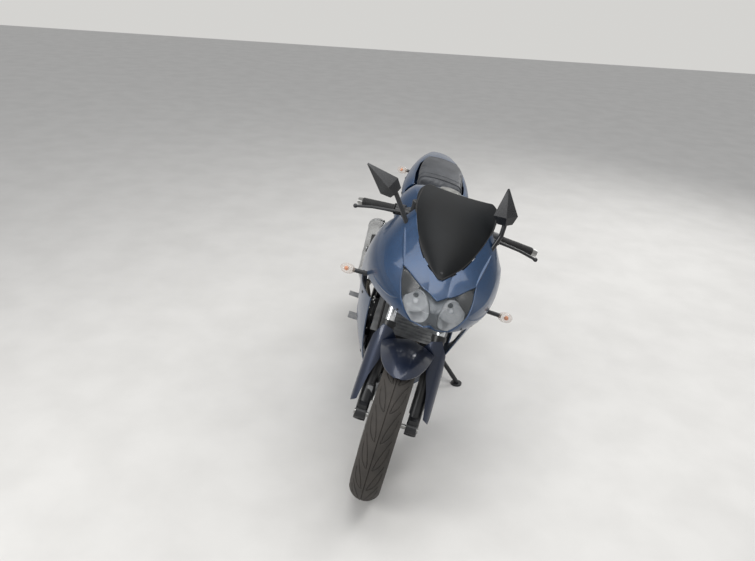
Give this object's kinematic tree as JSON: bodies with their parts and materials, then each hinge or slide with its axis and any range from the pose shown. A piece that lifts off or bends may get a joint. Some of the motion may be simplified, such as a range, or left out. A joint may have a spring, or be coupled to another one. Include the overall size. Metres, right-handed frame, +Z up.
{
  "type": "sport motorcycle",
  "caption": "Fully faired sport motorcycle with twin round headlamps, low bars and a stepped seat, parked leaning on its side stand.",
  "frame": {"origin": "on the ground, in the middle of the parked bike's outline", "axes": "+X to the rider's left, +Y from the front wheel towards the tail, +Z up"},
  "size_m": [0.7658, 2.0718, 1.1888],
  "materials": {
    "alloy": "satin",
    "black_plastic": "satin",
    "blue_paint": "gloss metallic",
    "cast_metal": "satin",
    "chrome": "polished",
    "clear": "clear",
    "dark_paint": "gloss",
    "frame_black": "satin",
    "red": "gloss",
    "rubber": "matt",
    "seat_vinyl": "grained",
    "smoke": "smoked",
    "steel": "brushed",
    "tyre": "matt"
  },
  "bodies": {
    "chassis": {"main_frame": "frame_black", "rear_frame": "frame_black", "engine": "cast_metal", "radiator": "alloy", "swingarm": "cast_metal", "pivot_bolt": "frame_black", "rear_axle": "steel", "rear_shock": "steel", "chain": "steel", "chain_guard": "black_plastic", "rear_caliper": "steel", "exhaust_pipes": "steel", "muffler": "steel", "heat_shield": "black_plastic", "upper_cowl": "blue_paint", "windscreen": "smoke", "headlamp_lens": "clear", "headlamp_housing": "black_plastic", "headlamp_bowls": "chrome", "side_cowl_left": "blue_paint", "side_cowl_right": "blue_paint", "lower_cowl": "blue_paint", "frame_covers": "blue_paint", "fuel_tank": "blue_paint", "rider_seat": "seat_vinyl", "pillion_seat": "seat_vinyl", "tail_cowl": "blue_paint", "tail_lamp": "red", "rear_mudguard": "black_plastic", "plate_bracket": "black_plastic", "signal_stalks": "black_plastic", "signal_lenses": "clear", "instrument_panel": "black_plastic", "fairing_stay": "frame_black", "mirrors": "black_plastic", "peg_brackets": "frame_black", "foot_pegs": "alloy", "foot_levers": "alloy"},
    "steering": {"fork_tubes": "steel", "fork_lowers": "frame_black", "triple_clamps": "cast_metal", "handlebars": "cast_metal", "grips": "rubber", "bar_weights": "steel", "hand_controls": "black_plastic", "front_axle": "steel", "front_mudguard": "dark_paint", "front_caliper": "steel", "brake_hose": "rubber"},
    "front_wheel": {"front_tyre": "tyre", "front_rim": "cast_metal", "front_disc": "steel"},
    "rear_wheel": {"rear_tyre": "tyre", "rear_rim": "cast_metal", "rear_disc": "steel", "rear_sprocket": "steel"},
    "side_stand": {"side_stand": "frame_black"},
    "fuel_cap": {"fuel_cap": "chrome"}
  },
  "joints": [
    {"name": "steering", "type": "hinge", "parent": "chassis", "child": "steering", "pos_m": [-0.01956, -0.45426, 0.74432], "axis": [0.2174, 0.4391, 0.8717], "range_deg": [-27, 43]},
    {"name": "front_wheel_spin", "type": "hinge", "parent": "steering", "child": "front_wheel", "pos_m": [-0.14095, -0.74478, 0.28919], "axis": [0.9756, -0.1252, -0.1803], "continuous": true},
    {"name": "rear_wheel_spin", "type": "hinge", "parent": "chassis", "child": "rear_wheel", "pos_m": [-0.13012, 0.65475, 0.3], "axis": [0.9703, -0.0002, -0.2419], "continuous": true},
    {"name": "side_stand_fold", "type": "hinge", "parent": "chassis", "child": "side_stand", "pos_m": [-0.00613, 0.08068, 0.21906], "axis": [0.7553, -0.1184, 0.6446], "range_deg": [0, 95]},
    {"name": "fuel_cap_lid", "type": "hinge", "parent": "chassis", "child": "fuel_cap", "pos_m": [0.04068, -0.14968, 0.9857], "axis": [0.9703, -0.0002, -0.2419], "range_deg": [0, 85]}
  ]
}
